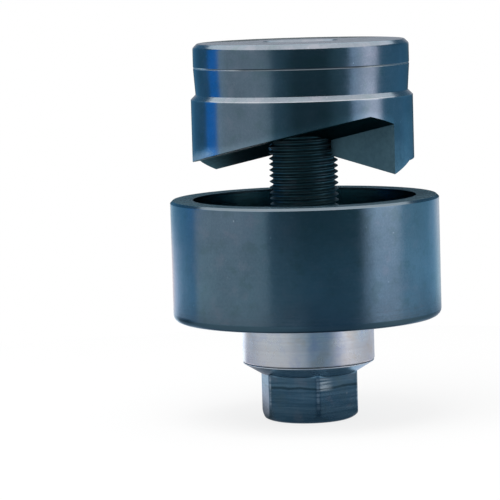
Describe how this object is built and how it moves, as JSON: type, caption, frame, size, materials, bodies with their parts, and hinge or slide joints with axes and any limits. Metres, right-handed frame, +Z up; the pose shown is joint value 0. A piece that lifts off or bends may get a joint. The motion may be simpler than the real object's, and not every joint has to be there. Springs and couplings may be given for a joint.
{
  "type": "knockout punch",
  "caption": "Hand-driven knockout punch for round conduit holes: slug-splitting punch, cup die and hex-headed draw stud on a ball thrust bearing.",
  "frame": {"origin": "centre of the free end of the stud's hex, on which the set stands", "axes": "+Z up the stud towards the punch; -Y towards the side the picture was taken from"},
  "size_m": [0.0746, 0.0746, 0.1051],
  "materials": {
    "oxide_punch": "semi-gloss black oxide over fine turning marks",
    "oxide_die": "semi-gloss black oxide over fine turning marks",
    "oxide_stud": "semi-gloss black oxide over fine turning marks",
    "band_steel": "bright turned",
    "bearing_steel": "ground",
    "ball_steel": "polished",
    "cage_brass": "satin, oiled"
  },
  "bodies": {
    "die": {"die": "oxide_die", "upper_race": "bearing_steel", "bearing_band": "band_steel"},
    "stud": {"draw_stud": "oxide_stud", "lower_race": "bearing_steel"},
    "cage": {"bearing_balls": "ball_steel", "ball_cage": "cage_brass"},
    "punch": {"punch": "oxide_punch"}
  },
  "joints": [
    {"name": "punch_feed", "type": "slide", "parent": "die", "child": "punch", "axis": [0, 0, 1], "range_m": [-0.03175, 0.01429]},
    {"name": "stud_turn", "type": "hinge", "parent": "die", "child": "stud", "pos_m": [0, 0, 0.02826], "axis": [0, 0, 1], "range_deg": [-3241, 7201]},
    {"name": "cage_turn", "type": "hinge", "parent": "die", "child": "cage", "pos_m": [0, 0, 0.02826], "axis": [0, 0, 1], "range_deg": [-1621, 3601]}
  ],
  "couplings": [
    {"joint": "stud_turn", "follows": "punch_feed", "rad_per_m": -3957.9},
    {"joint": "cage_turn", "follows": "punch_feed", "rad_per_m": -1979}
  ]
}
